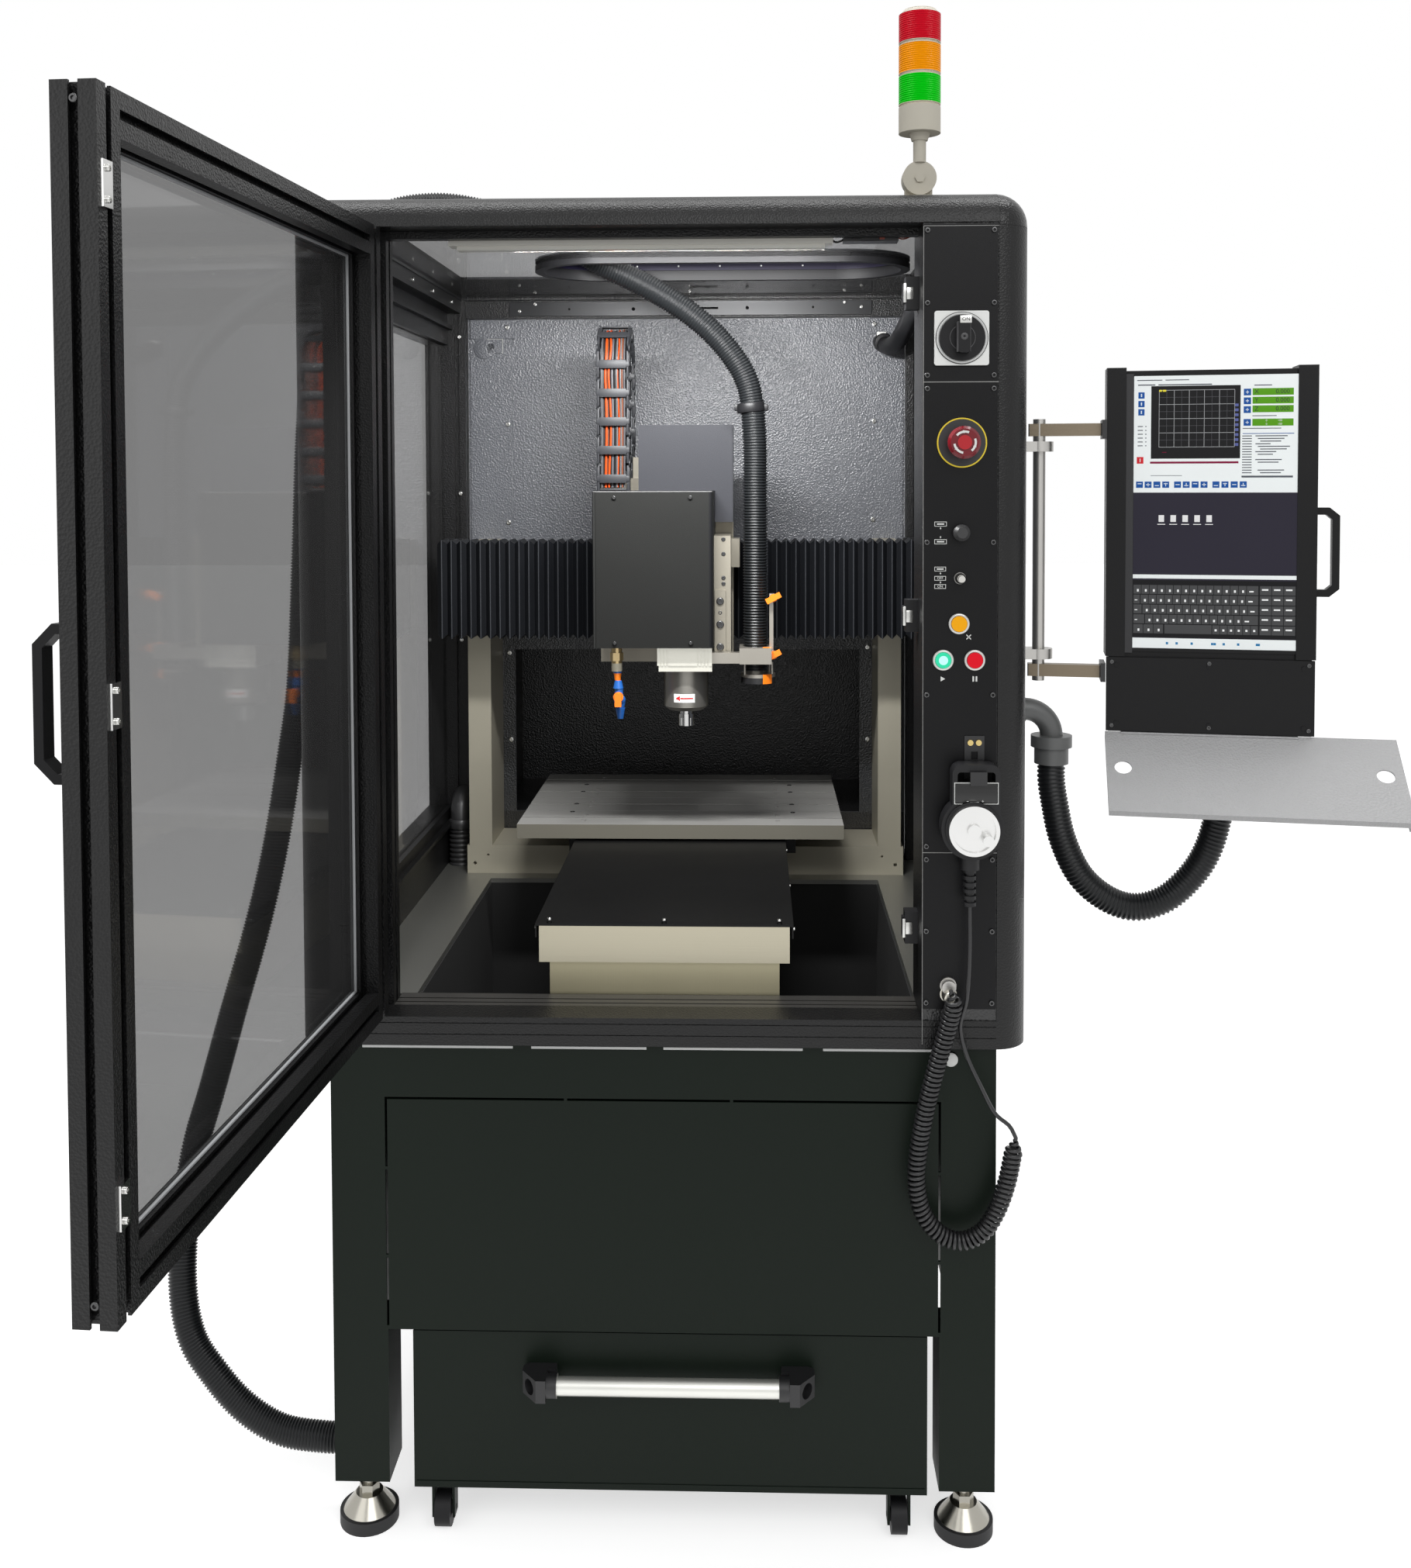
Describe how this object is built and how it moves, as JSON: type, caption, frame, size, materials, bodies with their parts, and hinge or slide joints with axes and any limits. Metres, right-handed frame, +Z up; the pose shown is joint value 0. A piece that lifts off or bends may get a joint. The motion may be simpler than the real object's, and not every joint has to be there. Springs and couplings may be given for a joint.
{
  "type": "desktop cnc milling machine",
  "caption": "Enclosed desktop milling machine on a steel base with swing door, moving table, gantry spindle, chip bin, signal tower and swing-out console.",
  "frame": {"origin": "on the floor, below the middle of the whole machine's outline with the door open and the console at the side; hoses and cords not counted", "axes": "+Z up, -Y towards the operator at the front, +X to the operator's right, where the console is"},
  "size_m": [1.5763, 1.769, 1.912],
  "materials": {
    "frame_black": "fine leather-grain powder coat",
    "base_green_black": "satin powder coat",
    "panel_grey": "coarse textured powder coat",
    "cover_black": "satin",
    "machine_alu": "bead-blasted and anodised",
    "beam_alu": "anodised",
    "bright_alu": "milled",
    "table_alu": "brushed",
    "dark_alu": "black anodised",
    "bronze_alu": "bronze anodised",
    "chromed": "plated",
    "rubber_black": "matt",
    "bellows_black": "ribbed, dull",
    "plastic_black": "moulded",
    "hose_grey": "corrugated",
    "plastic_blue": "moulded",
    "plastic_grey": "moulded",
    "window": "clear",
    "lamp_clear": "clear bar lamp",
    "red": "moulded",
    "amber": "moulded",
    "green": "moulded",
    "tower_beige": "moulded",
    "chute_black": "matt",
    "floor_grey": "dull sheet"
  },
  "bodies": {
    "machine": {"base_cabinet": "base_green_black", "levelling_feet": "chromed", "enclosure_frame": "frame_black", "wall_panels": "panel_grey", "windows": "window", "floor_sheet": "floor_grey", "chip_chute": "chute_black", "sill_strips": "bright_alu", "bed_beam": "beam_alu", "bed_cover": "cover_black", "bed_rails": "bright_alu", "gantry_frame": "machine_alu", "gantry_beam": "dark_alu", "bellows_left": "bellows_black", "bellows_right": "bellows_black", "column_panels": "cover_black", "switch_plates": "plastic_grey", "bezels": "bright_alu", "pendant_hook": "cover_black", "pendant": "plastic_black", "door_latches": "plastic_black", "work_lamp": "lamp_clear", "roof_slot_trim": "rubber_black", "console_mount": "bright_alu", "conduit_elbow": "plastic_black", "tower_foot": "tower_beige", "dust_hose": "hose_grey", "console_conduit": "hose_grey", "pendant_cord": "rubber_black"},
    "door": {"door_frame": "frame_black", "door_pane": "window", "door_handle": "cover_black", "catch_plates": "chromed"},
    "x_slide": {"x_carriage": "bright_alu", "carriage_covers": "panel_grey", "cable_chain": "plastic_black", "coolant_nozzle": "plastic_blue"},
    "z_slide": {"spindle_head": "bright_alu", "dust_clamp": "bright_alu"},
    "spindle": {"spindle_rotor": "chromed"},
    "work_table": {"table": "table_alu", "table_carriers": "dark_alu"},
    "chip_bin": {"bin_shell": "base_green_black", "bin_handle": "bright_alu"},
    "front_wheels": {"bin_wheels_front": "rubber_black"},
    "rear_wheels": {"bin_wheels_rear": "rubber_black"},
    "isolator": {"isolator_knob": "plastic_black"},
    "emergency_stop": {"estop_button": "red"},
    "amber_key": {"button_amber": "amber"},
    "green_key": {"button_green": "green"},
    "red_key": {"button_red": "red"},
    "selector": {"selector_knob": "plastic_black"},
    "toggle": {"toggle_lever": "plastic_black"},
    "hand_wheel": {"handwheel": "chromed"},
    "console": {"console_arms": "bronze_alu", "console_body": "cover_black", "console_tray": "panel_grey"},
    "signal_tower": {"tower_body": "tower_beige", "tower_lenses": "red"}
  },
  "joints": [
    {"name": "door_hinge", "type": "hinge", "parent": "machine", "child": "door", "pos_m": [-0.60316, -0.194, 1.155], "axis": [0, 0, 1], "range_deg": [-15, 93.6]},
    {"name": "cross_travel", "type": "slide", "parent": "machine", "child": "x_slide", "axis": [1, 0, 0], "range_m": [-0.2, 0.24], "deforming": ["bellows_left", "bellows_right", "dust_hose"]},
    {"name": "spindle_travel", "type": "slide", "parent": "x_slide", "child": "z_slide", "axis": [0, 0, 1], "range_m": [-0.12, 0]},
    {"name": "spindle_spin", "type": "hinge", "parent": "z_slide", "child": "spindle", "pos_m": [-0.21816, 0.271, 0.96], "axis": [0, 0, 1], "continuous": true},
    {"name": "table_travel", "type": "slide", "parent": "machine", "child": "work_table", "axis": [0, 1, 0], "range_m": [-0.4, 0]},
    {"name": "bin_roll", "type": "slide", "parent": "machine", "child": "chip_bin", "axis": [0, 1, 0], "range_m": [-0.5, 0]},
    {"name": "front_wheel_spin", "type": "hinge", "parent": "chip_bin", "child": "front_wheels", "pos_m": [-0.22316, -0.152, 0.022], "axis": [1, 0, 0], "continuous": true},
    {"name": "rear_wheel_spin", "type": "hinge", "parent": "chip_bin", "child": "rear_wheels", "pos_m": [-0.22316, 0.384, 0.022], "axis": [1, 0, 0], "continuous": true},
    {"name": "isolator_turn", "type": "hinge", "parent": "machine", "child": "isolator", "pos_m": [0.13384, -0.2004, 1.498], "axis": [0, 1, 0], "range_deg": [-90, 0]},
    {"name": "emergency_push", "type": "slide", "parent": "machine", "child": "emergency_stop", "axis": [0, 1, 0], "range_m": [0, 0.006]},
    {"name": "amber_push", "type": "slide", "parent": "machine", "child": "amber_key", "axis": [0, 1, 0], "range_m": [0, 0.003], "stiffness_N_per_m": 400, "springref_m": -0.002},
    {"name": "green_push", "type": "slide", "parent": "machine", "child": "green_key", "axis": [0, 1, 0], "range_m": [0, 0.003], "stiffness_N_per_m": 400, "springref_m": -0.002},
    {"name": "red_push", "type": "slide", "parent": "machine", "child": "red_key", "axis": [0, 1, 0], "range_m": [0, 0.003], "stiffness_N_per_m": 400, "springref_m": -0.002},
    {"name": "selector_turn", "type": "hinge", "parent": "machine", "child": "selector", "pos_m": [0.13384, -0.198, 1.265], "axis": [0, 1, 0], "range_deg": [-45, 45]},
    {"name": "toggle_tilt", "type": "hinge", "parent": "machine", "child": "toggle", "pos_m": [0.13284, -0.1966, 1.21], "axis": [1, 0, 0], "range_deg": [-18, 18]},
    {"name": "hand_wheel_spin", "type": "hinge", "parent": "machine", "child": "hand_wheel", "pos_m": [0.14484, -0.2322, 0.913], "axis": [0, 1, 0], "continuous": true},
    {"name": "console_swing", "type": "hinge", "parent": "machine", "child": "console", "pos_m": [0.25634, -0.044, 1.236], "axis": [0, 0, 1], "range_deg": [-40, 40], "deforming": ["console_conduit"]},
    {"name": "tower_fold", "type": "hinge", "parent": "machine", "child": "signal_tower", "pos_m": [0.09284, -0.112, 1.705], "axis": [0, 1, 0], "range_deg": [0, 90]}
  ],
  "couplings": [
    {"joint": "front_wheel_spin", "follows": "bin_roll", "rad_per_m": -45.455},
    {"joint": "rear_wheel_spin", "follows": "bin_roll", "rad_per_m": -45.455}
  ]
}
